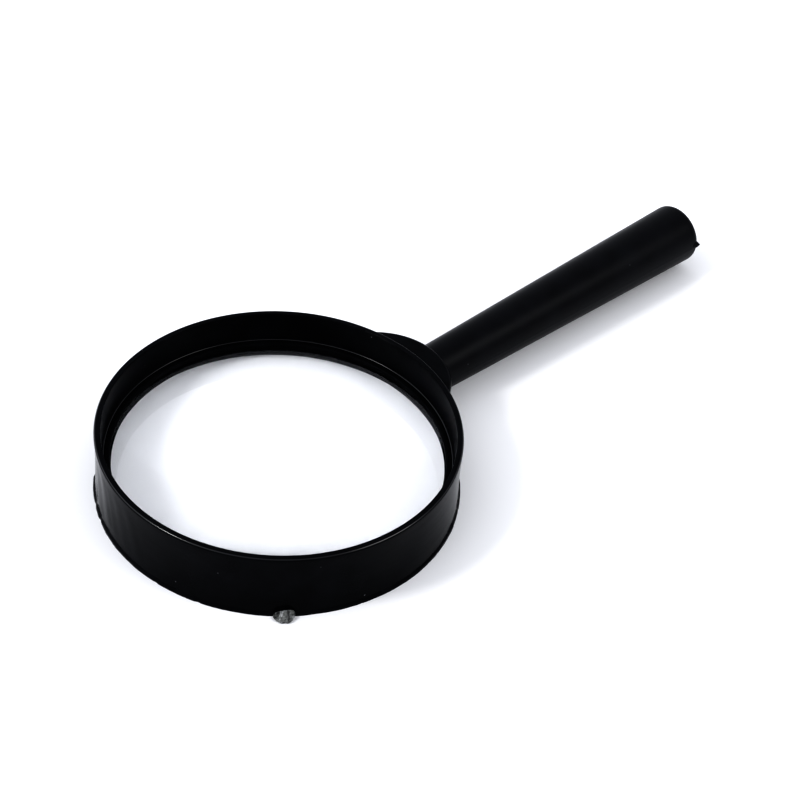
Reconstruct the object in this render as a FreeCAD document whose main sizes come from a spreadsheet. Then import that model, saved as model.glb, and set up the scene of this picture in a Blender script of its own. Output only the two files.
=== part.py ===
"""Hand magnifier: a moulded lens frame, a glass lens, its retaining ring and a pressed-on handle.

Frame: +X along the handle, +Z up off the table, origin at the middle of the part's footprint.
Every body is drawn about the lens axis and then moved along X as one.
"""

import FreeCAD, Part
import Sketcher
import math
import os

DIMENSIONS = {
    # Lens frame, a ring turned about the lens axis
    "ring_height": 13.65,
    "rim_radius": 33.6,
    "rim_inner_radius": 32.4,
    "rim_round": 0.3,
    "base_radius": 33.6,
    "base_bore_radius": 32.0,
    "waist_curve_radius": 90.0,
    "lip_radius": 34.0,
    "lip_thickness": 0.5,
    "lip_slope_height": 0.35,
    "pocket_radius": 31.85,
    "clear_radius": 30.4,
    "ledge_height": 3.6,
    "ledge_slope_height": 0.8,
    "bed_height": 4.55,
    # Lens
    "lens_radius": 31.7,
    "lens_curve_radius": 155.0,
    "lens_edge_thickness": 1.5,
    "lens_middle_height": 5.6,
    # Retaining ring, pressed into the pocket above the lens
    "retainer_outer_radius": 31.82,
    "retainer_bottom": 6.65,
    "retainer_thickness": 0.9,
    "retainer_inner_round": 0.35,
    "retainer_outer_chamfer": 0.2,
    # Boss that carries the handle
    "boss_centre_x": 24.9,
    "boss_radius": 13.4,
    "boss_root_radius": 32.9,
    "boss_bottom": 1.0,
    "boss_thickness": 11.5,
    "boss_edge_round": 0.4,
    "socket_radius": 4.8,
    "socket_floor_x": 37.0,
    "spigot_radius": 2.9,
    "spigot_length": 16.0,
    "spigot_root": 1.5,
    # Handle, a hollow tapered moulding
    "handle_start_x": 37.05,
    "handle_reach": 108.9,
    "handle_start_radius": 4.75,
    "handle_end_radius": 6.1,
    "handle_end_round": 1.5,
    "handle_axis_height": 6.75,
    "handle_bore_radius": 2.92,
    "handle_bore_depth": 16.5,
    "handle_core_start_radius": 3.1,
    "handle_core_end_radius": 4.2,
    "handle_end_wall": 3.0,
    # Moulding remains
    "stub_angle": 128.6,
    "stub_reach": 2.1,
    "stub_overlap": 0.5,
    "stub_root_width": 4.2,
    "stub_tip_width": 2.4,
    "stub_thickness": 1.7,
    "flash_tag_height": 0.9,
    "flash_tag_thickness": 0.6,
    "flash_tag_root": 0.4,
}

SHEET = "Dimensions"
TOLERANCE = 1e-6

# Side of an arc's middle, seen along the way from its start to its end
LEFT = 1
RIGHT = -1

# Sketcher's own numbers for a sketch's axes and for the points of an edge
HORIZONTAL_AXIS = -1
VERTICAL_AXIS = -2
START_POINT = 1
END_POINT = 2
CENTRE_POINT = 3


def make_sheet(doc):
    """The driving dimensions, one named cell each, in millimetres and degrees."""
    sheet = doc.addObject("Spreadsheet::Sheet", SHEET)
    for row, (name, size) in enumerate(DIMENSIONS.items(), start=1):
        sheet.set(f"A{row}", name)
        sheet.set(f"B{row}", str(size))
        sheet.setAlias(f"B{row}", name)
    doc.recompute()
    return sheet


def named(expression):
    """The expression with every dimension's name given its sheet."""
    words = []
    word = ""
    for letter in expression + " ":
        if letter.isalnum() or letter == "_":
            word += letter
            continue
        words.append(f"{SHEET}.{word}" if word in DIMENSIONS else word)
        words.append(letter)
        word = ""
    return "".join(words).strip()


def new_body(doc, label):
    """An empty body, moved so that the whole part is centred on the origin."""
    body = doc.addObject("PartDesign::Body", label)
    body.Label = label
    body.setExpression("Placement.Base.x", named("(lip_radius - handle_reach) / 2"))
    return body


def new_sketch(body, name, plane):
    """A sketch on one of the body's own origin planes."""
    sketch = body.newObject("Sketcher::SketchObject", name)
    base = [feature for feature in body.Origin.OriginFeatures if feature.Role == plane]
    sketch.AttachmentSupport = (base[0], "")
    sketch.MapMode = "FlatFace"
    return sketch


def drive(sketch, constraint, expression):
    """Adds a dimension and binds it to the sheet."""
    index = sketch.addConstraint(constraint)
    sketch.setExpression(f"Constraints[{index}]", named(expression))


def measure(sketch, expression):
    """The expression's present value."""
    found = sketch.evalExpression(named(expression))
    return float(getattr(found, "Value", found))


def bulged_arc(start, end, radius, side):
    """An arc of that radius from start to end, its middle to the LEFT or RIGHT of the way."""
    chord = end - start
    half = chord.Length / 2
    leftward = FreeCAD.Vector(-chord.y, chord.x, 0).normalize()
    sagitta = radius - math.sqrt(radius**2 - half**2)
    middle = start + chord / 2 + leftward * sagitta * side
    return Part.Arc(start, middle, end)


def draw_outline(sketch, corners):
    """A closed outline of corners (across, up, radius, side).

    The radius and side are those of the arc to the next corner, and None where a straight line leads there.
    """
    points = [FreeCAD.Vector(measure(sketch, c[0]), measure(sketch, c[1]), 0) for c in corners]
    ends = []
    for number, (_across, _up, radius, side) in enumerate(corners):
        start = points[number]
        end = points[(number + 1) % len(points)]
        if radius is None:
            index = sketch.addGeometry(Part.LineSegment(start, end), False)
            ends.append((index, START_POINT, END_POINT))
            continue
        index = sketch.addGeometry(bulged_arc(start, end, measure(sketch, radius), side), False)
        if (sketch.getPoint(index, START_POINT) - start).Length < TOLERANCE:
            ends.append((index, START_POINT, END_POINT))
        else:
            ends.append((index, END_POINT, START_POINT))
    for number, (index, _first, last) in enumerate(ends):
        following, first, _last = ends[(number + 1) % len(ends)]
        sketch.addConstraint(Sketcher.Constraint("Coincident", index, last, following, first))
    for (across, up, radius, _side), (index, first, _last) in zip(corners, ends):
        place_point(sketch, index, first, across, up)
        if radius is not None:
            drive(sketch, Sketcher.Constraint("Radius", index, measure(sketch, radius)), radius)


def place_point(sketch, index, vertex, across, up):
    """Holds one point of the sketch at its distances from the origin, the horizontal axis's start point."""
    places = (("DistanceX", across, VERTICAL_AXIS), ("DistanceY", up, HORIZONTAL_AXIS))
    for kind, expression, axis in places:
        value = measure(sketch, expression)
        if abs(value) < TOLERANCE:
            sketch.addConstraint(Sketcher.Constraint("PointOnObject", index, vertex, axis))
            continue
        held = Sketcher.Constraint(kind, HORIZONTAL_AXIS, START_POINT, index, vertex, value)
        drive(sketch, held, expression)


def draw_circle(sketch, across, up, radius):
    """One circle, held by its centre and radius."""
    centre = FreeCAD.Vector(measure(sketch, across), measure(sketch, up), 0)
    normal = FreeCAD.Vector(0, 0, 1)
    index = sketch.addGeometry(Part.Circle(centre, normal, measure(sketch, radius)), False)
    place_point(sketch, index, CENTRE_POINT, across, up)
    drive(sketch, Sketcher.Constraint("Radius", index, measure(sketch, radius)), radius)


def revolve(body, name, sketch, axis):
    """A full turn of the sketch about one of its own axes."""
    turned = body.newObject("PartDesign::Revolution", name)
    turned.Profile = sketch
    turned.ReferenceAxis = (sketch, [axis])
    turned.Angle = 360
    sketch.Visibility = False
    return turned


def pad(body, name, sketch, length):
    """A straight extrusion of the sketch along its normal."""
    grown = body.newObject("PartDesign::Pad", name)
    grown.Profile = sketch
    grown.setExpression("Length", named(length))
    sketch.Visibility = False
    return grown


def check_change(doc, feature, before, sign):
    """A feature that adds or cuts nothing shows no error of its own, so the volume is compared."""
    doc.recompute()
    change = (feature.Shape.Volume - before) * sign
    if change <= 0:
        raise RuntimeError(f"{feature.Label} changed nothing")
    return feature.Shape.Volume


def boss_face_edges(boss):
    """The names of the two curved edges round the boss's top and bottom faces."""
    shape = boss.Shape
    wanted = measure(boss, "boss_radius")
    names = []
    for number, edge in enumerate(shape.Edges, start=1):
        curve = edge.Curve
        if curve.TypeId == "Part::GeomCircle" and abs(curve.Radius - wanted) < TOLERANCE:
            names.append(f"Edge{number}")
    return names


def build_lens_frame(doc):
    """The moulded ring: thin rounded rim, waisted wall, foot lip, lens bed, handle boss and spigot."""
    body = new_body(doc, "lens_frame")
    section = new_sketch(body, "frame_section", "XZ_Plane")
    draw_outline(section, [
        ("base_bore_radius", "0", None, None),
        ("lip_radius", "0", None, None),
        ("lip_radius", "lip_thickness", None, None),
        ("base_radius", "lip_thickness + lip_slope_height", "waist_curve_radius", LEFT),
        ("rim_radius", "ring_height - rim_round", "rim_round", RIGHT),
        ("rim_radius - rim_round", "ring_height", None, None),
        ("rim_inner_radius + rim_round", "ring_height", "rim_round", RIGHT),
        ("rim_inner_radius", "ring_height - rim_round", None, None),
        ("pocket_radius", "retainer_bottom + retainer_thickness", None, None),
        ("pocket_radius", "bed_height", None, None),
        ("clear_radius", "bed_height", None, None),
        ("clear_radius", "ledge_height", None, None),
        ("base_bore_radius", "ledge_height - ledge_slope_height", None, None),
    ])
    ring = revolve(body, "frame_ring", section, "V_Axis")
    volume = check_change(doc, ring, 0, 1)

    crescent = new_sketch(body, "boss_outline", "XY_Plane")
    crescent.setExpression("AttachmentOffset.Base.z", named("boss_bottom"))
    meet_x = "(boss_centre_x ^ 2 + boss_root_radius ^ 2 - boss_radius ^ 2) / (2 * boss_centre_x)"
    meet_y = f"sqrt(boss_root_radius ^ 2 - ({meet_x}) ^ 2)"
    draw_outline(crescent, [
        (meet_x, f"-({meet_y})", "boss_radius", RIGHT),
        (meet_x, meet_y, "boss_root_radius", LEFT),
    ])
    boss = pad(body, "handle_boss", crescent, "boss_thickness")
    volume = check_change(doc, boss, volume, 1)
    softened = body.newObject("PartDesign::Fillet", "boss_edges")
    softened.Base = (boss, boss_face_edges(boss))
    softened.setExpression("Radius", named("boss_edge_round"))
    volume = check_change(doc, softened, volume, -1)

    socket = new_sketch(body, "socket_circle", "YZ_Plane")
    socket.setExpression("AttachmentOffset.Base.z", named("socket_floor_x"))
    draw_circle(socket, "0", "handle_axis_height", "socket_radius")
    recess = body.newObject("PartDesign::Pocket", "handle_socket")
    recess.Profile = socket
    recess.Type = "ThroughAll"
    recess.Reversed = True
    socket.Visibility = False
    volume = check_change(doc, recess, volume, -1)

    peg = new_sketch(body, "spigot_circle", "YZ_Plane")
    peg.setExpression("AttachmentOffset.Base.z", named("socket_floor_x - spigot_root"))
    draw_circle(peg, "0", "handle_axis_height", "spigot_radius")
    spigot = pad(body, "handle_spigot", peg, "spigot_length + spigot_root")
    volume = check_change(doc, spigot, volume, 1)

    remains = new_sketch(body, "gate_stub_outline", "XY_Plane")
    remains.setExpression("AttachmentOffset.Rotation.Angle", named("-stub_angle"))
    draw_outline(remains, [
        ("base_radius - stub_overlap", "-stub_root_width / 2", None, None),
        ("lip_radius", "-stub_root_width / 2", None, None),
        ("lip_radius + stub_reach", "-stub_tip_width / 2", None, None),
        ("lip_radius + stub_reach", "stub_tip_width / 2", None, None),
        ("lip_radius", "stub_root_width / 2", None, None),
        ("base_radius - stub_overlap", "stub_root_width / 2", None, None),
    ])
    stub = pad(body, "gate_stub", remains, "stub_thickness")
    check_change(doc, stub, volume, 1)
    return body


def build_lens(doc):
    """A biconvex lens with a plain cylindrical edge."""
    body = new_body(doc, "lens")
    body.setExpression("Placement.Base.z", named("lens_middle_height"))
    section = new_sketch(body, "lens_section", "XZ_Plane")
    dome = "lens_curve_radius - sqrt(lens_curve_radius ^ 2 - lens_radius ^ 2)"
    vertex = f"lens_edge_thickness / 2 + {dome}"
    draw_outline(section, [
        ("0", f"-({vertex})", "lens_curve_radius", RIGHT),
        ("lens_radius", "-lens_edge_thickness / 2", None, None),
        ("lens_radius", "lens_edge_thickness / 2", "lens_curve_radius", RIGHT),
        ("0", vertex, None, None),
    ])
    turned = revolve(body, "lens_blank", section, "V_Axis")
    check_change(doc, turned, 0, 1)
    return body


def build_retaining_ring(doc):
    """The pressed-in ring that holds the lens down on its bed."""
    body = new_body(doc, "lens_retaining_ring")
    body.setExpression("Placement.Base.z", named("retainer_bottom"))
    section = new_sketch(body, "retainer_section", "XZ_Plane")
    draw_outline(section, [
        ("clear_radius", "0", None, None),
        ("retainer_outer_radius", "0", None, None),
        ("retainer_outer_radius", "retainer_thickness - retainer_outer_chamfer", None, None),
        ("retainer_outer_radius - retainer_outer_chamfer", "retainer_thickness", None, None),
        ("clear_radius + retainer_inner_round", "retainer_thickness", "retainer_inner_round", RIGHT),
        ("clear_radius", "retainer_thickness - retainer_inner_round", None, None),
    ])
    turned = revolve(body, "retainer_ring", section, "V_Axis")
    check_change(doc, turned, 0, 1)
    return body


def build_handle(doc):
    """A hollow tapered grip, closed and rounded at its far end, open at the ring for the spigot."""
    body = new_body(doc, "handle")
    body.setExpression("Placement.Base.z", named("handle_axis_height"))
    section = new_sketch(body, "handle_section", "XZ_Plane")
    draw_outline(section, [
        ("handle_start_x", "handle_bore_radius", None, None),
        ("handle_start_x + handle_bore_depth", "handle_bore_radius", None, None),
        ("handle_start_x + handle_bore_depth", "handle_core_start_radius", None, None),
        ("handle_reach - handle_end_wall", "handle_core_end_radius", None, None),
        ("handle_reach - handle_end_wall", "0", None, None),
        ("handle_reach", "0", None, None),
        ("handle_reach", "handle_end_radius - handle_end_round", "handle_end_round", RIGHT),
        ("handle_reach - handle_end_round", "handle_end_radius", None, None),
        ("handle_start_x", "handle_start_radius", None, None),
    ])
    grip = revolve(body, "handle_grip", section, "H_Axis")
    volume = check_change(doc, grip, 0, 1)

    tag = new_sketch(body, "flash_tag_outline", "XY_Plane")
    tag.setExpression("AttachmentOffset.Base.z", named("flash_tag_height - flash_tag_thickness / 2"))
    draw_outline(tag, [
        ("handle_reach - handle_end_round", "-handle_end_radius", None, None),
        ("handle_reach - flash_tag_root / 2", "-handle_end_radius + flash_tag_root / 2", None, None),
        ("handle_reach - flash_tag_root / 2", "-handle_end_radius + handle_end_round", None, None),
        ("handle_reach - handle_end_round", "-handle_end_radius + handle_end_round", None, None),
    ])
    flash = pad(body, "flash_tag", tag, "flash_tag_thickness")
    check_change(doc, flash, volume, 1)
    return body


def check_document(doc, bodies):
    """Stops with a message if anything in the document failed or a body has no sound solid."""
    doc.recompute()
    for item in doc.Objects:
        if "Invalid" in item.State or "Error" in item.State:
            raise RuntimeError(f"{item.Label} failed: {item.State}")
    for body in bodies:
        if body.Shape.isNull() or not body.Shape.isValid() or len(body.Shape.Solids) != 1:
            raise RuntimeError(f"{body.Label} is not one valid solid")


def main():
    doc = FreeCAD.newDocument("hand_magnifier")
    make_sheet(doc)
    bodies = [
        build_lens_frame(doc),
        build_lens(doc),
        build_retaining_ring(doc),
        build_handle(doc),
    ]
    check_document(doc, bodies)
    os.makedirs("parts", exist_ok=True)
    for body in bodies:
        body.Shape.exportStep(f"parts/{body.Label}.step")
        box = body.Shape.optimalBoundingBox()
        print(f"{body.Label}: {body.Shape.Volume:.1f} mm3, x {box.XMin:.2f} to {box.XMax:.2f}, "
              f"y {box.YMin:.2f} to {box.YMax:.2f}, z {box.ZMin:.2f} to {box.ZMax:.2f}")


main()
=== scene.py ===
"""Looks of a hand magnifier: lens frame with its boss, gate stub, lens, retaining ring and handle.

Lengths are in millimetres until a mesh is made, and angles are about the lens axis, counter-clockwise
from the handle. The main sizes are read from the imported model's boxes, and the others are set off from them.
"""

import math

import bmesh
import bpy
import numpy as np
from mathutils import Matrix, Vector, noise


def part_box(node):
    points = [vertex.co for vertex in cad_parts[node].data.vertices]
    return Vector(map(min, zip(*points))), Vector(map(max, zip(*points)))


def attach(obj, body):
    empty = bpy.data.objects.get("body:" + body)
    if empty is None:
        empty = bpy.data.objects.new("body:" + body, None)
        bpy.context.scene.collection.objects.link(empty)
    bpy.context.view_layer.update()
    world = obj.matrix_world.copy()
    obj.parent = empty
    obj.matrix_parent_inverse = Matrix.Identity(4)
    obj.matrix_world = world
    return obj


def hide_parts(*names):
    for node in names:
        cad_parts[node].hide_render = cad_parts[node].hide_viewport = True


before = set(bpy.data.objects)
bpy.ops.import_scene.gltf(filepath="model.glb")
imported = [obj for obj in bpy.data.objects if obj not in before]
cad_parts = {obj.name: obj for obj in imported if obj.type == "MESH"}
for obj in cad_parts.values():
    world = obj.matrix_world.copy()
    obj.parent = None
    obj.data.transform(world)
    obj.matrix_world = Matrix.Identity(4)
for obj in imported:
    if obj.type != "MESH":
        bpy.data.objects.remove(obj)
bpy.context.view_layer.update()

MM = 0.001
TURN = 2 * math.pi

# A point this far off an axis is on it, in millimetres; points and edges this small are joined, in metres
ON_AXIS = 1e-4
WELD_WITHIN = 2e-6
NO_LENGTH = 1e-7


def box_mm(node):
    """A CAD node's lowest and highest corner, in millimetres."""
    low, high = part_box(node)
    return low / MM, high / MM


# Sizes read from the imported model
frame_low, frame_high = box_mm("lens_frame")
lens_low, lens_high = box_mm("lens")
retainer_low, retainer_high = box_mm("lens_retaining_ring")
handle_low, handle_high = box_mm("handle")

LIP_RADIUS = frame_high.y
AXIS_X = frame_low.x + LIP_RADIUS
HEIGHT = frame_high.z
SPIGOT_END = frame_high.x - AXIS_X
LENS_RADIUS = lens_high.y
RETAINER_RADIUS = retainer_high.y
HANDLE_START = handle_low.x - AXIS_X
HANDLE_END = handle_high.x - AXIS_X
HANDLE_RADIUS = handle_high.y
HANDLE_Z = (handle_low.z + handle_high.z) / 2
HANDLE_TAPER = 1.35
HANDLE_START_RADIUS = HANDLE_RADIUS - HANDLE_TAPER

# Lens frame, as its section and its boss are moulded
LIP_WIDTH = 0.4
RIM_RADIUS = LIP_RADIUS - LIP_WIDTH
RIM_THICKNESS = 1.2
RIM_INNER = RIM_RADIUS - RIM_THICKNESS
RIM_INNER_ROUND = 0.15
RIM_DOME_WIDTH = 0.45
RIM_DOME = 0.45
# The rim's outer round between these slopes gets the stronger reflection of a painted highlight, where the key
# lamp's highlight falls.
HIGHLIGHT_BAND_FROM = math.radians(34)
HIGHLIGHT_BAND_TO = math.radians(64)
BASE_RADIUS = LIP_RADIUS - LIP_WIDTH
LIP_THICKNESS = 0.5
LIP_SLOPE = 0.35
LIP_DRAFT = 0.03
WAIST_DEPTH = 0.19
POCKET_CLEARANCE = 0.15
POCKET_RADIUS = LENS_RADIUS + POCKET_CLEARANCE
SEAT_WIDTH = 1.3
CLEAR_RADIUS = LENS_RADIUS - SEAT_WIDTH
BORE_CLEARANCE = 0.3
BORE_RADIUS = LENS_RADIUS + BORE_CLEARANCE
BED_Z = 4.55
LEDGE_Z = 3.6
LEDGE_SLOPE = 0.8
POCKET_TOP = retainer_high.z
WALL_FOOT_ROUND = 0.2
BOSS_CENTRE = 24.9
SOCKET_DEPTH = 1.25
BOSS_REACH = HANDLE_START + SOCKET_DEPTH
BOSS_RADIUS = BOSS_REACH - BOSS_CENTRE
BOSS_BOTTOM = 1.0
BOSS_TOP = 12.5
BOSS_ROUND = 0.8
BOSS_FILLET = 0.35
FILLET_TAIL = 4 * BOSS_FILLET
GATE_ANGLE = math.radians(-128.6)

# The foot lip's edge: uneven, broken away over one stretch, and chipped in a few more places
LIP_SWELL = 0.08
LIP_FRAY = 0.04
LIP_INSET = 0.07
LIP_LOSS = 0.3
LIP_GAP_MIDDLE = math.radians(126.5)
LIP_GAP_HALF = math.radians(13)
LIP_CHIPS = tuple(math.radians(a) for a in (151, 158, 190))
LIP_CHIP_SPAN = math.radians(0.8)
LIP_CHIP_DEPTH = 0.15

# Unevenness of the outer wall: a slow swell all round, and slanting ripples on one side
SWELL_DEPTH = 0.035
RIPPLE_DEPTH = 0.14
RIPPLE_MIDDLE = math.radians(156)
RIPPLE_SPAN = math.radians(22)
RIPPLE_SLANT = math.radians(0.55)
DENT_FADE = 2.0


# ---------------------------------------------------------------- mesh helpers

def make_piece(name, points, faces, material, replaced=None, sharp=35):
    """A smooth-shaded mesh from points in millimetres about the lens axis, riding on the one body."""
    mesh = bpy.data.meshes.new(name)
    placed = [((x + AXIS_X) * MM, y * MM, z * MM) for x, y, z in points]
    mesh.from_pydata(placed, [], faces)
    piece = bpy.data.objects.new(name, mesh)
    bpy.context.scene.collection.objects.link(piece)
    weld(mesh)
    mesh.polygons.foreach_set("use_smooth", [True] * len(mesh.polygons))
    mesh.set_sharp_from_angle(angle=math.radians(sharp))
    mesh.materials.append(material)
    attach(piece, "root")
    if replaced:
        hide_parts(replaced)
    return piece


def weld(mesh):
    """Joins points that coincide and turns every face outwards."""
    work = bmesh.new()
    work.from_mesh(mesh)
    bmesh.ops.remove_doubles(work, verts=work.verts, dist=WELD_WITHIN)
    bmesh.ops.dissolve_degenerate(work, edges=work.edges, dist=NO_LENGTH)
    bmesh.ops.recalc_face_normals(work, faces=work.faces)
    work.to_mesh(mesh)
    work.free()
    mesh.update()


def grid_faces(rows, columns, close_rows=True):
    """Quads of a grid whose columns always close, and whose rows close unless told not to."""
    faces = []
    for i in range(rows if close_rows else rows - 1):
        below = i * columns
        above = ((i + 1) % rows) * columns
        for j in range(columns):
            after = (j + 1) % columns
            faces.append((below + j, below + after, above + after, above + j))
    return faces


def line(start, end, steps):
    """Points from start up to, and not including, end."""
    return [tuple(a + (b - a) * k / steps for a, b in zip(start, end)) for k in range(steps)]


def arc(centre, radii, start, end, steps):
    """Points of an ellipse's arc, from start up to and not including end, in degrees."""
    made = []
    for k in range(steps):
        t = math.radians(start + (end - start) * k / steps)
        made.append((centre[0] + radii[0] * math.cos(t), centre[1] + radii[1] * math.sin(t)))
    return made


def smooth_step(t):
    """Rises from 0 to 1 as t does, with level ends."""
    t = min(1.0, max(0.0, t))
    return t * t * (3 - 2 * t)


def wobble(angle, height, waves, seed):
    """Smooth noise from -1 to 1 round the ring, the same on both sides of the seam."""
    where = Vector((math.cos(angle) * waves, math.sin(angle) * waves, height + seed))
    return noise.noise(where)


# ---------------------------------------------------------------- lens frame

def wall_radius(z):
    """Outer wall between the lip and the rim: a shallow waist."""
    low, high = LIP_THICKNESS + LIP_SLOPE, HEIGHT - RIM_DOME
    t = (z - low) / (high - low)
    return BASE_RADIUS + (RIM_RADIUS - BASE_RADIUS) * t - WAIST_DEPTH * 4 * t * (1 - t)


def wall_dent(angle, z):
    """How far the uneven wall stands off its true radius, fading out towards the foot and the rim."""
    fade = smooth_step((z - BOSS_BOTTOM) / DENT_FADE) * smooth_step((BOSS_TOP - z) / DENT_FADE)
    off = math.remainder(angle - RIPPLE_MIDDLE, TURN) / RIPPLE_SPAN
    ripple = RIPPLE_DEPTH * math.exp(-off * off) * wobble(angle + RIPPLE_SLANT * z, 0, 11, 5.2)
    return fade * (SWELL_DEPTH * wobble(angle, 0.06 * z, 3.0, 0.4) + ripple)


def boss_reach_at(angle):
    """How far the boss's round face stands from the lens axis, or 0 where it has none."""
    inside = BOSS_RADIUS ** 2 - (BOSS_CENTRE * math.sin(angle)) ** 2
    if inside <= 0 or math.cos(angle) <= 0:
        return 0.0
    return BOSS_CENTRE * math.cos(angle) + math.sqrt(inside)


def blended_reach(wall, boss):
    """The larger of the two, with a small fillet where they meet."""
    gap = boss - wall
    if gap < -FILLET_TAIL:
        return wall
    return wall + 0.5 * (gap + math.hypot(gap, BOSS_FILLET)) - fillet_offset(gap)


def fillet_offset(gap):
    """Brings the fillet's tail back to the wall."""
    tail = 0.5 * (math.hypot(FILLET_TAIL, BOSS_FILLET) - FILLET_TAIL)
    return tail * (1 - smooth_step((gap + FILLET_TAIL) / FILLET_TAIL))


def ring_angles():
    """Column angles, closer together where the boss meets the ring."""
    coarse, fine = 0.5, 0.125
    meet_from, meet_to = 18.0, 25.0
    angles = list(np.arange(0, 360, coarse))
    for side in (1, -1):
        angles += list(side * np.arange(meet_from, meet_to, fine))
    return sorted({round(math.radians(a % 360), 7) for a in angles})


def lip_edge(angle):
    """The foot lip's ragged edge, never past the CAD lip."""
    bite_from, bite_depth = 0.5, 0.8
    gap_steepness = 6
    ripple = LIP_SWELL * wobble(angle, 0, 9, 3.1) + LIP_FRAY * wobble(angle, 0, 41, 7.7)
    bite = max(0.0, wobble(angle, 0, 23, 4.6) - bite_from) * bite_depth
    off = math.remainder(angle - LIP_GAP_MIDDLE, TURN) / LIP_GAP_HALF
    gap = LIP_LOSS * smooth_step((1 - abs(off)) * gap_steepness)
    for chip in LIP_CHIPS:
        off = math.remainder(angle - chip, TURN) / LIP_CHIP_SPAN
        bite += LIP_CHIP_DEPTH * math.exp(-off * off)
    return LIP_RADIUS - LIP_INSET + max(-LIP_LOSS, min(LIP_INSET, ripple - bite - gap))


def frame_section(angle):
    """The section at one angle, from the bore's foot outwards, up the wall and back down inside."""
    lip = lip_edge(angle)
    dome_centre = (RIM_RADIUS - RIM_DOME_WIDTH, HEIGHT - RIM_DOME)
    inner_centre = (RIM_INNER + RIM_INNER_ROUND, HEIGHT - RIM_INNER_ROUND)
    foot_centre = (POCKET_RADIUS, POCKET_TOP + WALL_FOOT_ROUND)
    wall_foot = LIP_THICKNESS + LIP_SLOPE
    out = []
    out += line((BORE_RADIUS, 0), (lip, 0), 4)
    out += line((lip, 0), (lip - LIP_DRAFT, LIP_THICKNESS), 2)
    out += line((lip - LIP_DRAFT, LIP_THICKNESS), (BASE_RADIUS, wall_foot), 3)
    out += line((BASE_RADIUS, wall_foot), (wall_radius(BOSS_BOTTOM), BOSS_BOTTOM), 1)
    out += boss_section(angle)
    out += arc(dome_centre, (RIM_DOME_WIDTH, RIM_DOME), 0, 90, 24)
    out += line((dome_centre[0], HEIGHT), (inner_centre[0], HEIGHT), 2)
    out += arc(inner_centre, (RIM_INNER_ROUND, RIM_INNER_ROUND), 90, 180, 5)
    out += line((RIM_INNER, inner_centre[1]), (foot_centre[0] + WALL_FOOT_ROUND, foot_centre[1]), 8)
    out += arc(foot_centre, (WALL_FOOT_ROUND, WALL_FOOT_ROUND), 0, -90, 10)
    out += line((POCKET_RADIUS, POCKET_TOP), (POCKET_RADIUS, BED_Z), 4)
    out += line((POCKET_RADIUS, BED_Z), (CLEAR_RADIUS, BED_Z), 3)
    out += line((CLEAR_RADIUS, BED_Z), (CLEAR_RADIUS, LEDGE_Z), 3)
    out += line((CLEAR_RADIUS, LEDGE_Z), (BORE_RADIUS, LEDGE_Z - LEDGE_SLOPE), 3)
    out += line((BORE_RADIUS, LEDGE_Z - LEDGE_SLOPE), (BORE_RADIUS, 0), 4)
    return out


def boss_section(angle):
    """The wall from the boss's foot to its top: out, up and back in where the boss stands proud."""
    steps_out, steps_round, steps_up = 8, 6, 30
    least_stand = 0.02
    boss = boss_reach_at(angle)
    made = []
    rows = []
    counts = {"foot": steps_out, "low": steps_round, "face": steps_up, "high": steps_round}
    for part, steps in counts.items():
        rows += [(part, k / steps) for k in range(steps)]
    rows += [("top", k / steps_out) for k in range(steps_out + 1)]
    for part, t in rows:
        if part in ("foot", "low"):
            edge_z = BOSS_BOTTOM
        elif part in ("high", "top"):
            edge_z = BOSS_TOP
        else:
            edge_z = BOSS_BOTTOM + (BOSS_TOP - BOSS_BOTTOM) * t
        wall = wall_radius(edge_z) + wall_dent(angle, edge_z)
        reach = blended_reach(wall, boss)
        stand = reach - wall
        if stand < least_stand:
            stand = 0.0
        curve = min(BOSS_ROUND, 0.5 * stand)
        if part == "foot":
            r, z = wall + (stand - curve) * t, BOSS_BOTTOM
        elif part == "top":
            r, z = wall + (stand - curve) * (1 - t), BOSS_TOP
        elif part == "low":
            a = math.radians(-90 + 90 * t)
            r = wall + stand - curve + curve * math.cos(a)
            z = BOSS_BOTTOM + curve + curve * math.sin(a)
        elif part == "high":
            a = math.radians(90 * t)
            r = wall + stand - curve + curve * math.cos(a)
            z = BOSS_TOP - curve + curve * math.sin(a)
        else:
            r = wall + stand
            z = BOSS_BOTTOM + curve + (BOSS_TOP - BOSS_BOTTOM - 2 * curve) * t
        made.append((r, z))
    return made


def paint_where(piece, material, chosen):
    """Gives the faces that chosen(radius, height) picks, in millimetres, another material."""
    piece.data.materials.append(material)
    index = len(piece.data.materials) - 1
    for face in piece.data.polygons:
        x, y, z = face.center / MM
        if chosen(math.hypot(x - AXIS_X, y), z):
            face.material_index = index


def build_frame_shell(material, seat_material, wall_material, edge_material):
    """The moulded ring: polished outside, satin inside and matt at the seat, with a painted highlight:
    stronger reflection along its rim's outer round and the inner wall's foot, where the key lamp's highlights
    fall.
    """
    angles = ring_angles()
    sections = [frame_section(a) for a in angles]
    rows = len(sections[0])
    points = []
    for i in range(rows):
        for a, section in zip(angles, sections):
            r, z = section[i]
            points.append((r * math.cos(a), r * math.sin(a), z))
    faces = grid_faces(rows, len(angles))
    shell = make_piece("frame_shell", points, faces, material, "lens_frame")
    slack = 0.05
    paint_where(shell, wall_material, lambda r, z: r < RIM_INNER + 0.4 * slack)
    paint_where(shell, seat_material, lambda r, z: r < POCKET_RADIUS + slack and z < POCKET_TOP)
    # Painted highlight: stronger reflection on the band of the rim's round where the key lamp's highlight
    # falls
    paint_where(shell, edge_material, on_highlight_band)
    foot_top = POCKET_TOP + WALL_FOOT_ROUND
    # Painted highlight: the same stronger reflection on the inner wall's foot round, where the key lamp draws
    # a thin line
    paint_where(shell, edge_material, lambda r, z: r < RIM_INNER and POCKET_TOP < z < foot_top)
    return shell


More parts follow.
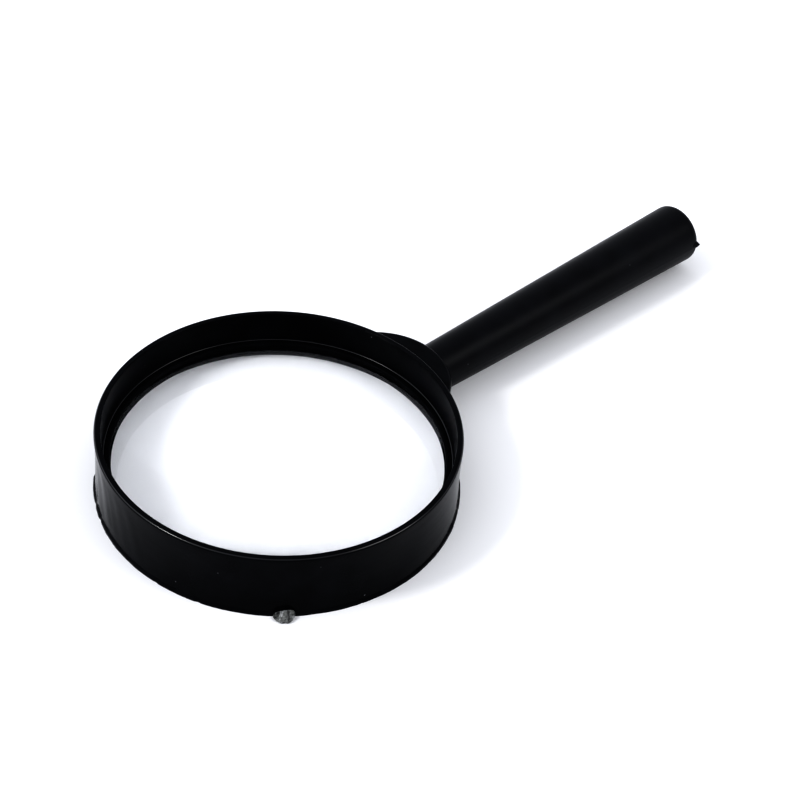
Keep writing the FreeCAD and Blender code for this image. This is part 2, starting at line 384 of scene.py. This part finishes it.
def on_highlight_band(r, z):
    """True along the middle of the rim's outer round, where the key lamp's highlight falls: a painted
    highlight band with stronger reflection.
    """
    out, up = r - (RIM_RADIUS - RIM_DOME_WIDTH), z - (HEIGHT - RIM_DOME)
    return out > 0 and up > 0 and HIGHLIGHT_BAND_FROM < math.atan2(up, out) < HIGHLIGHT_BAND_TO


# ---------------------------------------------------------------- gate stub

def build_gate_stub(material):
    """The snapped-off gate at the foot of the frame: a blunt lump, ridged and whitened where it tore."""
    reach, bedded, half_widest = 2.2, 0.6, 1.98
    widest_at, taper = 0.42, 0.585
    high_root, high_tip, lean = 1.22, 0.60, 0.17
    fall_from, fall_length, tip_share = 0.5, 0.52, 0.35
    torn_from, torn_length = 0.2, 0.3
    foot_gap, lowest = 0.08, 0.05
    side_tear, end_tear = 0.22, 0.26
    rows, columns = 40, 64
    points = []
    for i in range(rows):
        t = i / (rows - 1)
        out = RIM_RADIUS - bedded + (reach + bedded) * t
        half_width = half_widest * math.sqrt(1 - ((t - widest_at) / taper) ** 2)
        end = math.sqrt(1 - max(0.0, (t - fall_from) / fall_length) ** 2)
        high = (high_root + (high_tip - high_root) * t) * (tip_share + (1 - tip_share) * end)
        torn = smooth_step((t - torn_from) / torn_length)
        for j in range(columns):
            a = TURN * j / columns
            ca, sa = math.cos(a), math.sin(a)
            side = ca * half_width
            up = 0.5 * high * (1 + sa) * (1 + lean * side)
            seed = Vector((out * 1.1, side * 1.3, up * 1.3))
            side += torn * side_tear * noise.noise(seed * 1.5 + Vector((5, 0, 0)))
            up += torn * torn_relief(side, t) * max(0.0, sa)
            push = torn * (end_tear * noise.noise(seed * 1.9 + Vector((0, 0, 9))) + end_notch(side, t))
            points.append(placed_round(out + push, side, max(lowest, foot_gap + up)))
    faces = grid_faces(rows, columns, close_rows=False)
    faces.append(tuple(range(columns)))
    faces.append(tuple((rows - 1) * columns + j for j in reversed(range(columns))))
    return make_piece("gate_stub", points, faces, material, sharp=50)


def torn_relief(side, t):
    """Height of the tear's surface: two ridges that curve towards the tip, and a fine roughness."""
    roughness, ridge_height, ridge_width = 0.16, 0.09, 0.08
    height = roughness * noise.noise(Vector((side * 3.6, t * 6.0, 2.2)))
    for middle, bend in ((-0.85, 0.45), (-1.35, 0.25)):
        off = (side - middle - bend * t * t) / ridge_width
        height += ridge_height * math.exp(-off * off)
    return height


def end_notch(side, t):
    """A small cleft in the tip, a little to one side of its middle."""
    middle, width, depth, begins = 0.15, 0.11, 0.55, 0.6
    off = (side - middle) / width
    return -depth * smooth_step((t - begins) / (1 - begins)) * math.exp(-off * off)


def placed_round(out, side, z):
    """A point out from the lens axis along the gate's direction and across it."""
    ca, sa = math.cos(GATE_ANGLE), math.sin(GATE_ANGLE)
    return (out * ca - side * sa, out * sa + side * ca, z)


# ---------------------------------------------------------------- turned pieces

def turned(name, section, columns, material, replaced, sharp=35):
    """A closed section turned about the lens axis."""
    points = []
    for r, z in section:
        for j in range(columns):
            a = TURN * j / columns
            points.append((r * math.cos(a), r * math.sin(a), z))
    faces = grid_faces(len(section), columns)
    return make_piece(name, points, faces, material, replaced, sharp)


def build_lens(material, edge_material):
    """A biconvex lens with a ground edge, painted dark as shade, and a small bevel at each corner."""
    middle = (lens_low.z + lens_high.z) / 2
    edge_half, bevel, steps = 0.75, 0.18, 96
    sag = (lens_high.z - lens_low.z) / 2 - edge_half
    curve = (LENS_RADIUS ** 2 + sag ** 2) / (2 * sag)
    outer = LENS_RADIUS - bevel

    def surface(r):
        """The face's height over the lens's middle plane."""
        return edge_half + math.sqrt(curve ** 2 - r ** 2) - (curve - sag)

    radii = [outer * k / steps for k in range(steps + 1)]
    section = [(max(r, ON_AXIS), middle - surface(r)) for r in radii]
    section += [(LENS_RADIUS, middle - edge_half + bevel), (LENS_RADIUS, middle + edge_half - bevel)]
    section += [(max(r, ON_AXIS), middle + surface(r)) for r in reversed(radii)]
    lens = turned("lens_glass", section, 288, material, "lens", sharp=20)
    # The edge gets painted shade: an opaque near-black finish in place of the glass
    paint_where(lens, edge_material, lambda r, z: r > outer)
    return lens


def build_retaining_ring(material):
    """A flat ring with a rounded inner edge, set a little back from the seat's, and a chamfer outside."""
    set_back, soft, chamfer = 0.35, 0.35, 0.2
    outer, bottom, top = RETAINER_RADIUS, retainer_low.z, retainer_high.z
    inner = CLEAR_RADIUS + set_back
    section = line((inner, bottom), (outer, bottom), 3)
    section += line((outer, bottom), (outer, top - chamfer), 2)
    section += line((outer, top - chamfer), (outer - chamfer, top), 1)
    section += line((outer - chamfer, top), (inner + soft, top), 3)
    section += arc((inner + soft, top - soft), (soft, soft), 90, 180, 8)
    section += line((inner, top - soft), (inner, bottom), 2)
    return turned("retaining_ring", section, 360, material, "lens_retaining_ring")


# ---------------------------------------------------------------- handle and its spigot

def build_spigot(material):
    """The frame's peg inside the handle: a round bar with a chamfered end."""
    radius, chamfer, rooted, columns = 2.9, 0.5, 1.5, 48
    root = HANDLE_START - rooted
    section = [(root, ON_AXIS), (root, radius), (SPIGOT_END - chamfer, radius)]
    section += [(SPIGOT_END, radius - chamfer), (SPIGOT_END, ON_AXIS)]
    points = []
    for x, r in section:
        for j in range(columns):
            a = TURN * j / columns
            points.append((x, r * math.cos(a), HANDLE_Z + r * math.sin(a)))
    faces = grid_faces(len(section), columns, close_rows=False)
    return make_piece("frame_spigot", points, faces, material)


def build_handle(material):
    """A tapered round moulding: seated in the boss, bored for the spigot and rounded at its end."""
    columns = 144
    angles = [TURN * j / columns for j in range(columns)]
    sections = [handle_section(a) for a in angles]
    rows = len(sections[0])
    points = []
    for i in range(rows):
        for a, section in zip(angles, sections):
            x, r = section[i]
            points.append((x, r * math.cos(a), HANDLE_Z + r * math.sin(a)))
    faces = grid_faces(rows, columns, close_rows=False)
    return make_piece("handle_grip", points, faces, material, "handle", sharp=40)


def handle_radius(x):
    """The handle's nominal radius, which grows evenly towards its end."""
    t = (x - HANDLE_START) / (HANDLE_END - HANDLE_START)
    return HANDLE_START_RADIUS + (HANDLE_RADIUS - HANDLE_START_RADIUS) * t


def handle_section(a):
    """One lengthwise line of the handle, from the bore's floor out over the surface to the end's middle."""
    seat_gap, seat_depth, shoulder = 0.12, 0.16, 0.3
    shoulder_steps, body_steps, end_steps = 6, 60, 12
    end_round, end_dish = 1.5, 0.10
    bore_radius, bore_depth = 2.92, 16.5
    inset, end_inset, overlap = 0.03, 0.02, 0.05
    sway_depth = 0.02
    side = handle_radius(HANDLE_START) * math.cos(a)
    face = BOSS_CENTRE + math.sqrt(BOSS_RADIUS ** 2 - side ** 2)
    neck = handle_radius(HANDLE_START) - seat_depth
    start = face + seat_gap
    body_end = HANDLE_END - end_round
    line_ridge = parting_ridge(a)
    made = [(HANDLE_START + bore_depth, ON_AXIS), (HANDLE_START + bore_depth, bore_radius)]
    made += [(HANDLE_START, bore_radius), (HANDLE_START, neck)]
    made += [(face - overlap, neck), (start, neck)]
    for k in range(1, shoulder_steps + 1):
        t = math.radians(90 * k / shoulder_steps)
        x = start + shoulder * (1 - math.cos(t))
        made.append((x, handle_radius(x) - seat_depth * (1 - math.sin(t))))
    for k in range(1, body_steps):
        t = k / body_steps
        x = start + shoulder + (body_end - start - shoulder) * t
        sway = sway_depth * noise.noise(Vector((x * 0.08, math.cos(a) * 0.8, math.sin(a) * 0.8 + 4)))
        fade = smooth_step(t * 8)
        made.append((x, handle_radius(x) - inset + fade * (sway + line_ridge)))
    for k in range(end_steps + 1):
        t = math.radians(90 * k / end_steps)
        x = body_end + end_round * math.sin(t)
        r = handle_radius(body_end) - inset - end_round * (1 - math.cos(t))
        made.append((x - end_inset, r + line_ridge * math.cos(t)))
    flat = handle_radius(body_end) - end_round
    for share in (0.8, 0.6, 0.4, 0.2):
        made.append((HANDLE_END - end_inset - end_dish * (1 - share), flat * share))
    made.append((HANDLE_END - end_inset - end_dish, ON_AXIS))
    return made


def parting_ridge(a):
    """The mould's parting line along both sides, hardly raised."""
    height, half_width = 0.025, 0.035
    off = min(abs(math.remainder(a, TURN)), abs(math.remainder(a - math.pi, TURN)))
    return height * math.exp(-(off / half_width) ** 2)


def build_flash_tag(material):
    """A small pointed tag of flash, left where the handle's end was broken from its runner."""
    rows, columns = 16, 28
    back, sunk, lift = 1.15, 0.45, 0.5
    buried, length = 0.9, 2.0
    root_half_width, root_half_thick, point = 1.10, 1.60, 0.04
    raggedness, end_inset = 0.16, 0.02
    root_x = HANDLE_END - back
    root_y = -(handle_radius(root_x) - sunk)
    along = Vector((0.72, -0.69, 0)).normalized()
    across = Vector((0.69, 0.72, 0)).normalized()
    points = []
    for i in range(rows):
        t = i / (rows - 1)
        reach = length * t - buried
        half_width = root_half_width * (1 - t) ** 0.8 + point
        half_thick = root_half_thick * (1 - t) ** 0.8 + point
        for j in range(columns):
            a = TURN * j / columns
            rough = 1 + raggedness * noise.noise(Vector((t * 3, math.cos(a), math.sin(a))))
            at = along * reach + across * (half_width * math.cos(a) * rough)
            x = min(root_x + at.x, HANDLE_END - end_inset)
            y = root_y + at.y
            points.append((x, y, HANDLE_Z + lift + half_thick * math.sin(a) * rough))
    faces = grid_faces(rows, columns, close_rows=False)
    faces.append(tuple(range(columns)))
    faces.append(tuple((rows - 1) * columns + j for j in reversed(range(columns))))
    return make_piece("handle_flash_tag", points, faces, material, sharp=50)


# ---------------------------------------------------------------- materials

GLOSS_TINT = (0.0035, 0.0038, 0.0048)
SATIN_TINT = (0.0030, 0.0033, 0.0046)


class Nodes:
    """A material's node tree, with short calls for the nodes used here."""

    def __init__(self, name):
        self.material = bpy.data.materials.new(name)
        self.material.use_nodes = True
        self.tree = self.material.node_tree
        self.shader = self.tree.nodes["Principled BSDF"]
        self.output = self.tree.nodes["Material Output"]
        self.where = self.add("ShaderNodeTexCoord").outputs["Object"]

    def add(self, kind, **values):
        node = self.tree.nodes.new(kind)
        for key, value in values.items():
            setattr(node, key, value)
        return node

    def link(self, start, end):
        self.tree.links.new(start, end)

    def noise(self, scale, detail=2.0, rough=0.5, stretch=None):
        """Noise with scale in features per metre."""
        node = self.add("ShaderNodeTexNoise")
        node.inputs["Scale"].default_value = scale
        node.inputs["Detail"].default_value = detail
        node.inputs["Roughness"].default_value = rough
        self.link(self.stretched(stretch), node.inputs["Vector"])
        return node.outputs["Fac"]

    def stretched(self, stretch):
        """The piece's own coordinates, scaled along each axis by stretch if there is one."""
        if stretch is None:
            return self.where
        mapping = self.add("ShaderNodeMapping")
        mapping.inputs["Scale"].default_value = stretch
        self.link(self.where, mapping.inputs["Vector"])
        return mapping.outputs["Vector"]

    def spots(self, scale, size):
        """Sparse round specks: 1 inside a speck, 0 elsewhere."""
        rare_from, rare_to = 0.93, 0.96
        cell = self.add("ShaderNodeTexVoronoi")
        cell.inputs["Scale"].default_value = scale
        self.link(self.where, cell.inputs["Vector"])
        near = self.range(cell.outputs["Distance"], size, size * 0.5, 0, 1)
        chosen = self.add("ShaderNodeSeparateColor")
        self.link(cell.outputs["Color"], chosen.inputs["Color"])
        rare = self.range(chosen.outputs["Red"], rare_from, rare_to, 0, 1)
        return self.math("MULTIPLY", near, rare)

    def range(self, value, low, high, out_low, out_high):
        """value, with low to high spread over out_low to out_high and held there beyond them."""
        node = self.add("ShaderNodeMapRange")
        ends = {"From Min": low, "From Max": high, "To Min": out_low, "To Max": out_high}
        for key, number in ends.items():
            node.inputs[key].default_value = number
        self.link(value, node.inputs["Value"])
        return node.outputs["Result"]

    def math(self, operation, first, second):
        """One arithmetic step on two values, each a number or a socket."""
        node = self.add("ShaderNodeMath", operation=operation)
        for socket, value in zip(node.inputs, (first, second)):
            if isinstance(value, (int, float)):
                socket.default_value = value
            else:
                self.link(value, socket)
        return node.outputs["Value"]

    def mix(self, factor, first, second):
        """The first colour where factor is 0 and the second where it is 1."""
        node = self.add("ShaderNodeMix", data_type="RGBA")
        self.link(factor, node.inputs["Factor"])
        for key, value in (("A", first), ("B", second)):
            socket = [s for s in node.inputs if s.name == key and s.type == "RGBA"][0]
            if isinstance(value, tuple):
                socket.default_value = (*value, 1)
            else:
                self.link(value, socket)
        return [s for s in node.outputs if s.type == "RGBA"][0]

    def bump(self, height, distance, strength=1.0, under=None):
        """A bump whose full height is distance, in millimetres."""
        node = self.add("ShaderNodeBump")
        node.inputs["Strength"].default_value = strength
        node.inputs["Distance"].default_value = distance * MM
        self.link(height, node.inputs["Height"])
        if under:
            self.link(under, node.inputs["Normal"])
        return node.outputs["Normal"]

    def set(self, **values):
        """Sets or links the shader's own sockets, named with underscores for spaces."""
        for key, value in values.items():
            socket = self.shader.inputs[key.replace("_", " ")]
            if hasattr(value, "links"):
                self.link(value, socket)
            else:
                socket.default_value = value


def black_plastic(name, gloss, spread, specular, tint=GLOSS_TINT, grain=5200, grain_depth=0.003):
    """Injection-moulded black plastic with handling marks, faint flow lines, fine grain and dust.

    gloss is its lowest roughness and spread what the handling marks add; grain is in features per metre
    and grain_depth in millimetres.
    """
    m = Nodes(name)
    smear = m.noise(160, 3, 0.55)
    flow = m.noise(90, 2, 0.5, stretch=(1, 1, 5))
    hairlines = m.noise(900, 2, 0.6, stretch=(1, 0.08, 1))
    dust = m.spots(620, 0.10)
    colour = m.mix(m.range(smear, 0.35, 0.7, 0, 1), tint, tuple(c * 1.8 for c in tint))
    colour = m.mix(dust, colour, (0.16, 0.16, 0.17))
    rough = m.range(smear, 0.3, 0.75, gloss, gloss + spread)
    rough = m.math("ADD", rough, m.math("MULTIPLY", dust, 0.4))
    rough = m.math("ADD", rough, m.range(hairlines, 0.62, 0.72, 0, spread * 0.5))
    normal = m.bump(flow, 0.05, 0.6)
    normal = m.bump(m.noise(grain, 2, 0.5), grain_depth, 1.0, normal)
    normal = m.bump(dust, 0.04, 1.0, normal)
    m.set(Base_Color=colour, Roughness=rough, Normal=normal)
    m.shader.inputs["Specular IOR Level"].default_value = specular
    return m.material


def torn_plastic(name):
    """The same plastic where it was snapped off: rough, grey with stress, with whitened ridges along it."""
    m = Nodes(name)
    along = m.add("ShaderNodeMapping")
    along.inputs["Rotation"].default_value = (0, 0, -GATE_ANGLE)
    m.link(m.where, along.inputs["Vector"])
    m.where = along.outputs["Vector"]
    stress = m.noise(1500, 3, 0.6, stretch=(0.5, 1, 0.8))
    blotch = m.noise(900, 2, 0.5)
    ridges = m.math("MULTIPLY", m.range(stress, 0.52, 0.64, 0, 1), m.range(blotch, 0.36, 0.56, 0.15, 1))
    colour = m.mix(m.range(blotch, 0.34, 0.60, 0, 1), (0.016, 0.017, 0.018), (0.160, 0.165, 0.160))
    colour = m.mix(ridges, colour, (0.46, 0.47, 0.48))
    rough = m.range(stress, 0.3, 0.7, 0.32, 0.6)
    m.set(Base_Color=colour, Roughness=rough, Normal=m.bump(stress, 0.15, 1.0))
    return m.material


def clear_glass(name):
    """Polished glass that lets light through to the table, with faint wipe marks."""
    m = Nodes(name)
    wipe = m.noise(300, 3, 0.6, stretch=(1, 0.2, 1))
    m.set(Base_Color=(0.985, 0.99, 1.0, 1), Roughness=m.range(wipe, 0.55, 0.8, 0.0, 0.012))
    m.shader.inputs["Transmission Weight"].default_value = 1.0
    m.shader.inputs["IOR"].default_value = 1.52
    m.shader.inputs["Specular IOR Level"].default_value = 0.18
    paths = m.add("ShaderNodeLightPath")
    clear = m.add("ShaderNodeBsdfTransparent")
    clear.inputs["Color"].default_value = (0.93, 0.94, 0.96, 1)
    both = m.add("ShaderNodeMixShader")
    m.link(paths.outputs["Is Shadow Ray"], both.inputs[0])
    m.link(m.shader.outputs["BSDF"], both.inputs[1])
    m.link(clear.outputs["BSDF"], both.inputs[2])
    m.link(both.outputs["Shader"], m.output.inputs["Surface"])
    return m.material


def ground_glass_painted_shade(name):
    """The lens's ground edge: dull, with the fine pits of the grinding wheel, and painted near-black as shade,
    as it sits in the black seat.
    """
    m = Nodes(name)
    pits = m.noise(4200, 2, 0.6)
    # Painted shade: the edge is coloured near-black, as it looks set in the black seat
    colour = m.mix(m.range(pits, 0.35, 0.65, 0, 1), (0.010, 0.011, 0.011), (0.022, 0.024, 0.024))
    m.set(Base_Color=colour, Roughness=m.range(pits, 0.3, 0.7, 0.62, 0.78), Normal=m.bump(pits, 0.01))
    m.shader.inputs["Specular IOR Level"].default_value = 0.05
    return m.material


def plain_floor(name):
    """The pale matt table top."""
    m = Nodes(name)
    m.set(Base_Color=(0.86, 0.86, 0.87, 1), Roughness=0.85)
    m.shader.inputs["Specular IOR Level"].default_value = 0.1
    return m.material


# ---------------------------------------------------------------- build

frame_black = black_plastic("gloss_black_frame", gloss=0.12, spread=0.07, specular=0.08)
wall_black = black_plastic("satin_black_inner_wall", gloss=0.30, spread=0.08, specular=0.10)
# Painted highlight: a copy of the frame's black with stronger reflection, used only where the key lamp's
# highlights fall
highlight_band_black = black_plastic("black_edge_painted_highlight", gloss=0.19, spread=0.04, specular=0.56, grain_depth=0.002)
seat_black = black_plastic("matt_black_seat", gloss=0.60, spread=0.10, specular=0.01)
ring_black = black_plastic("satin_black_retainer", gloss=0.36, spread=0.08, specular=0.04)
handle_black = black_plastic(
    "satin_black_handle", gloss=0.34, spread=0.08, specular=0.17,
    tint=SATIN_TINT, grain=3600, grain_depth=0.009,
)
torn_black = torn_plastic("torn_black_gate")
glass = clear_glass("lens_glass_clear")
glass_edge_painted_shade = ground_glass_painted_shade("lens_ground_edge_painted_shade")

build_frame_shell(frame_black, seat_black, wall_black, highlight_band_black)
build_gate_stub(torn_black)
build_lens(glass, glass_edge_painted_shade)
build_retaining_ring(ring_black)
build_spigot(frame_black)
build_handle(handle_black)
build_flash_tag(handle_black)


# ---------------------------------------------------------------- floor, light and camera

def build_floor():
    """One large pale plane under the object."""
    half = 1.6
    mesh = bpy.data.meshes.new("floor")
    corners = [(-half, -half, 0), (half, -half, 0), (half, half, 0), (-half, half, 0)]
    mesh.from_pydata(corners, [], [(0, 1, 2, 3)])
    mesh.materials.append(plain_floor("floor_white"))
    floor = bpy.data.objects.new("floor", mesh)
    bpy.context.scene.collection.objects.link(floor)


def direction(azimuth, elevation):
    """A unit vector towards a point of the sky, with its azimuth counter-clockwise from +X."""
    a, e = math.radians(azimuth), math.radians(elevation)
    return Vector((math.cos(a) * math.cos(e), math.sin(a) * math.cos(e), math.sin(e)))


def add_softbox(name, azimuth, elevation, size, power):
    """A round softbox that faces the lens, with its place in degrees, its size in metres and watts."""
    distance, colour = 0.9, (1.0, 0.99, 0.97)
    lamp = bpy.data.lights.new(name, "AREA")
    lamp.shape = "DISK"
    lamp.size = size
    lamp.energy = power
    lamp.color = colour
    box = bpy.data.objects.new(name, lamp)
    towards = direction(azimuth, elevation)
    box.location = Vector((AXIS_X * MM, 0, 0)) + towards * distance
    box.rotation_euler = towards.to_track_quat("Z", "Y").to_euler()
    bpy.context.scene.collection.objects.link(box)


def build_world(strength, glow, towards):
    """An even pale surround that brightens by glow towards one side, as beside a large window."""
    world = bpy.data.worlds.new("studio")
    world.use_nodes = True
    tree = world.node_tree
    back = tree.nodes["Background"]
    back.inputs["Color"].default_value = (0.93, 0.95, 1.0, 1)
    where = tree.nodes.new("ShaderNodeTexCoord").outputs["Generated"]
    facing = tree.nodes.new("ShaderNodeVectorMath")
    facing.operation = "DOT_PRODUCT"
    facing.inputs[1].default_value = towards
    tree.links.new(where, facing.inputs[0])
    level = facing.outputs["Value"]
    for operation, number in (("MAXIMUM", 0.0), ("POWER", 2.0), ("MULTIPLY", glow), ("ADD", strength)):
        step = tree.nodes.new("ShaderNodeMath")
        step.operation = operation
        step.inputs[1].default_value = number
        tree.links.new(level, step.inputs[0])
        level = step.outputs["Value"]
    tree.links.new(level, back.inputs["Strength"])
    bpy.context.scene.world = world


def build_camera():
    """The photograph's own angle: 41.5 degrees above the table, from the side away from the handle.

    Its distance and aim are in ring radii, so they follow the object's size.
    """
    azimuth, elevation, roll = math.radians(-45.8), math.radians(41.5), math.radians(4.7)
    ring = (LIP_RADIUS - 0.5) * MM
    distance = 14.10 * ring
    aim = Vector((AXIS_X * MM + 0.997 * ring, 0.08 * ring, 0))
    back = Vector((
        math.sin(azimuth) * math.cos(elevation),
        -math.cos(azimuth) * math.cos(elevation),
        math.sin(elevation),
    ))
    right = Vector((math.cos(azimuth), math.sin(azimuth), 0))
    up = back.cross(right)
    across = right * math.cos(roll) + up * math.sin(roll)
    upright = up * math.cos(roll) - right * math.sin(roll)
    lens = bpy.data.cameras.new("camera")
    lens.lens = 110
    lens.sensor_width = 36
    lens.clip_start = 0.01
    lens.clip_end = 20
    camera = bpy.data.objects.new("camera", lens)
    turn = Matrix((across, upright, back)).transposed().to_4x4()
    camera.matrix_world = Matrix.Translation(aim + back * distance) @ turn
    bpy.context.scene.collection.objects.link(camera)
    bpy.context.scene.camera = camera


build_floor()
add_softbox("key_softbox", azimuth=159, elevation=44, size=0.17, power=1.80)
add_softbox("fill_softbox", azimuth=-62, elevation=41, size=0.50, power=1.60)
build_world(strength=0.555, glow=0.60, towards=direction(134, 25))
build_camera()
bpy.context.scene.view_settings.view_transform = "Standard"
bpy.context.scene.view_settings.look = "Very High Contrast"
